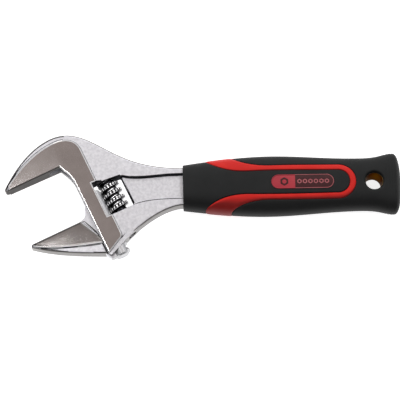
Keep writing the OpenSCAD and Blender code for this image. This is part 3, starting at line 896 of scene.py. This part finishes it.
def closed_piece(name, outer, inner, faces, places, skin, node, material):
    """A moulded piece from its outer and inner skins over a quarter, mirrored to all four."""
    count = {}
    for face in faces:
        for a, b in zip(face, np.roll(face, -1)):
            key = (min(a, b), max(a, b))
            count[key] = count.get(key, 0) + 1
    n = len(outer)
    quarter_faces = [tuple(f) for f in faces] + [tuple(i + n for i in f) for f in faces]
    for (a, b), times in count.items():
        ends = places[[a, b]]
        on_border = (ends[:, 1] < 1e-4).all() or (ends[:, 1] > skin.v_side - 1e-4).all()
        at_pole = (ends[:, 0] > skin.u[-1] - 1e-4).all()
        if times == 1 and not on_border and not at_pole:
            quarter_faces.append((a, b, b + n, a + n))
    used = sorted({i for f in quarter_faces for i in f})
    renumber = {old: new for new, old in enumerate(used)}
    quarter_points = np.concatenate([outer, inner])[used]
    points, all_faces = [], []
    for flip_y in (1, -1):
        for flip_z in (1, -1):
            base = len(points)
            points += [(x * MM, grip_y + flip_y * y * MM, mid_z + flip_z * z * MM)
                       for x, y, z in quarter_points]
            all_faces += [tuple(base + renumber[i] for i in f) for f in quarter_faces]
    add_object(name, mesh_from(name, points, all_faces, 40), "body", [node], [material])


def closed_on_top(curve):
    """The outline round a curve whose two ends are on the top line."""
    return np.concatenate([curve, [(curve[-1][0], -1), (curve[0][0], -1)]])


def towards_front(seam, v_side):
    """The outline round everything in front of a seam, which runs from the side to the top."""
    ahead = [(seam[-1][0], -1), (-1, -1), (-1, v_side + 1)]
    return np.concatenate([[(seam[0][0], v_side + 1)], seam, ahead])


def pill(shrink, count=40):
    """Half of the badge's outline in plan, from its front end to its rear end."""
    r = BADGE_W / 2 - shrink
    reach = (BADGE_L - BADGE_W) / 2
    return np.concatenate([arc(BADGE_X - reach, r, 180, 90, count),
                           arc(BADGE_X + reach, r, 90, 0, count)])


def make_grip():
    skin = Skin()
    seam_out = skin.from_plan(np.concatenate([
        bezier([[13, HALF_W + 1], [17, 12], [26, LOOP_OUT], [36, LOOP_OUT]], 300),
        arc(LOOP_X, LOOP_OUT, 90, 0, 60)]), 0.6)
    seam_in = skin.from_plan(np.concatenate([
        bezier([[-2, HALF_W + 1], [4, 9.4], [13, LOOP_IN], [23, LOOP_IN]], 300),
        arc(LOOP_X, LOOP_IN, 90, 0, 60)]), 0.6)
    pocket = skin.from_plan(pill(0), 0.5)
    hole = skin.from_plan(arc(HOLE_X, HOLE_R, 180, 0, 60), 0.4)
    curves = [seam_out, seam_in, pocket, hole]
    for seam in (seam_out, seam_in):
        for d in (0.12, 0.25, 0.5, 0.95):
            curves += [beside(seam, d, skin.v_side), beside(seam, -d, skin.v_side)]
    curves += [beside(pocket, d, skin.v_side) for d in (-0.05, -0.5, 0.1, 0.25, 0.6)]
    curves += [beside(hole, d, skin.v_side) for d in (0.06, 0.2, 0.45, 0.8, 1.15, 1.6)]
    places, faces = triangulate(skin, curves, 0.35)

    base = skin.sample(skin.points, places)
    normals = skin.sample(skin.normals, places)
    normals /= np.linalg.norm(normals, axis=1, keepdims=True)
    from_seam = np.minimum(distance_to(seam_out, places), distance_to(seam_in, places))
    from_rim = np.clip((np.hypot(base[:, 0] - HOLE_X, base[:, 1]) - HOLE_R) / HOLE_FILLET, 0, 1)
    on_face = (np.abs(base[:, 0] - HOLE_X) < 8) & (base[:, 2] > 5)
    sunk = SEAM_DEPTH * (1 - np.clip(from_seam / SEAM_HALF, 0, 1)) ** 2
    for x in FINGER_RIDGES:
        sunk += 0.14 * np.exp(-((base[:, 0] - x) / 0.28) ** 2)
    outer = base - sunk[:, None] * normals
    fillet = np.where(on_face, HOLE_FILLET * (1 - np.sqrt(1 - (1 - from_rim) ** 2)), 0)
    outer[:, 2] -= fillet
    depth = SKIN_T + np.where(on_face, HOLE_FILLET * (1 - from_rim), 0)
    depth[places[:, 0] < skin.u[skin.first_side]] = 0.15
    inner = base - depth[:, None] * normals
    on_hole = on_face & (from_rim < 1e-3)
    inner[on_hole, 2] = BUSH_HALF
    in_pocket = within(closed_on_top(pocket), places) & (distance_to(pocket, places) > 0.03)
    outer[in_pocket, 2] = POCKET_Z

    middles = places[faces].mean(1)
    solid = ~within(closed_on_top(hole), middles)
    in_front, in_loop = (within(towards_front(seam, skin.v_side), middles)
                         for seam in (seam_in, seam_out))
    crowned = outer + 0.2 * np.clip(from_seam / 1.4, 0, 1)[:, None] * normals
    for name, skin_points, chosen, slot, node, material in (
            ("front_sleeve", outer, in_front, "black_rubber", "grip_sleeve", black_rubber),
            ("red_loop", crowned, in_loop & ~in_front, "red_plastic", "grip_core", red_plastic),
            ("rear_shell", outer, solid & ~in_loop, "black_rubber", "grip_shell", black_rubber)):
        closed_piece(name, skin_points, inner, faces[chosen], places, skin, node, material)


# ------------------------------------------------------------------ badges and bush

def badge_ring(shrink, split):
    """The badge's outline in plan, with a point on each side where its two colours meet."""
    r = BADGE_W / 2 - shrink
    reach = (BADGE_L - BADGE_W) / 2
    straight = np.concatenate([np.linspace(-reach, split, 12), np.linspace(split, reach, 20)[1:]])
    w = np.radians(np.linspace(-90, 90, 33))[1:-1]
    rear = np.stack([reach + r * np.cos(w), r * np.sin(w)], 1)
    low = np.stack([straight, np.full(len(straight), -r)], 1)
    return np.concatenate([low, rear, (low * (1, -1))[::-1], (rear * (-1, -1))])


def badge_top(x, y):
    """Height of the grip's own surface under the badge."""
    half_w = Skin.half_width(BADGE_X + x)
    return half_thick(BADGE_X + x) * (1 - (abs(y) / half_w) ** SQUARENESS) ** (1 / SQUARENESS)


def nut_ring(x, outer_r, inner_r, low, high):
    """Points and faces of a hexagonal ring that stands on the badge."""
    n = 24
    w = np.arange(n) * 2 * math.pi / n
    hexagon = math.cos(math.pi / 6) / np.cos((w + math.pi / 6) % (math.pi / 3) - math.pi / 6)
    bevel = 0.06
    rows = [(outer_r * hexagon, low), (outer_r * hexagon, high - bevel),
            ((outer_r - bevel) * hexagon, high), (np.full(n, inner_r + bevel), high),
            (np.full(n, inner_r), high - bevel), (np.full(n, inner_r), low)]
    points = [(x + r * math.cos(q), r * math.sin(q), lift) for radii, lift in rows
              for q, r in zip(w, radii)]
    return points, ring_faces(len(rows), n, closed_rows=True)


def make_badge(name, node, side):
    """A pill-shaped plate with a raised rim, a nut on its red end and a row of small ones."""
    split = -BADGE_L / 2 + 12.6
    rim = 0.42
    profile = [(0.08, None), (0.08, 0.14), (0.14, 0.24), (0.22, 0.26), (rim, 0.26), (rim + 0.06, 0.22),
               (rim + 0.12, 0.12)] + [(d, 0.12) for d in (1.0, 1.6, 2.2, 2.8, 3.4, BADGE_W / 2 - 0.01)]
    points = []
    for shrink, lift in profile:
        for x, y in badge_ring(shrink, split):
            points.append((x, y, POCKET_Z + 0.05 if lift is None else badge_top(x, y) + lift))
    columns = len(badge_ring(0, split))
    faces = ring_faces(len(profile), columns)
    faces.append(tuple(range(columns)))
    nuts = [(-BADGE_L / 2 + 6.9, 2.35, 1.15)] + [(split + 2.3 + 2.9 * i, 1.32, 0.62) for i in range(6)]
    for x, outer_r, inner_r in nuts:
        ring_points, ring = nut_ring(x, outer_r, inner_r, -0.1, 0.1)
        faces += [tuple(len(points) + i for i in f) for f in ring]
        points += [(px, py, badge_top(px, py) + 0.12 + lift) for px, py, lift in ring_points]
    placed = [((BADGE_X + x) * MM, grip_y + y * MM, mid_z + side * z * MM) for x, y, z in points]
    mesh = mesh_from(name, placed, faces, 40)
    for face in mesh.polygons:
        x, y = face.center.x / MM - BADGE_X, (face.center.y - grip_y) / MM
        z = side * (face.center.z - mid_z) / MM
        shrink = BADGE_W / 2 - math.hypot(max(0, abs(x) - (BADGE_L - BADGE_W) / 2), y)
        raised = z - badge_top(x, y) > 0.15
        in_nut = raised and shrink > rim + 0.2
        if in_nut:
            face.material_index = 0 if x < split else 2
        elif x < split:
            face.material_index = 1
        else:
            face.material_index = 2 if shrink < rim + 0.05 else 0
    add_object(name, mesh, "body", [node], [badge_dark, badge_red, badge_line])


def make_bush():
    inner_r, outer_r, half, lip = 4.5, 5.2, BUSH_HALF, 0.25
    profile = []
    for side in (1, -1):
        for q in np.radians(np.linspace(0, 90, 5)):
            profile.append((inner_r + lip * (1 - math.cos(q)), side * (half - lip * (1 - math.sin(q)))))
        profile.append((outer_r, side * half))
    ring = profile[:6] + profile[6:][::-1]
    columns = 96
    turns = np.arange(columns) * 2 * math.pi / columns
    points = [((HOLE_X + r * math.cos(w)) * MM, grip_y + r * math.sin(w) * MM, mid_z + z * MM)
              for r, z in ring for w in turns]
    mesh = mesh_from("bush", points, ring_faces(len(ring), columns, closed_rows=True), 40)
    add_object("bush", mesh, "body", ["hang_bush"], [brass])


make_camera()
make_studio()
make_body()
make_jaw()
make_knurl()
make_spring()
dress("knurl_pin", pin_steel)
make_grip()
make_badge("front_badge", "badge_front", 1)
make_badge("back_badge", "badge_back", -1)
make_bush()
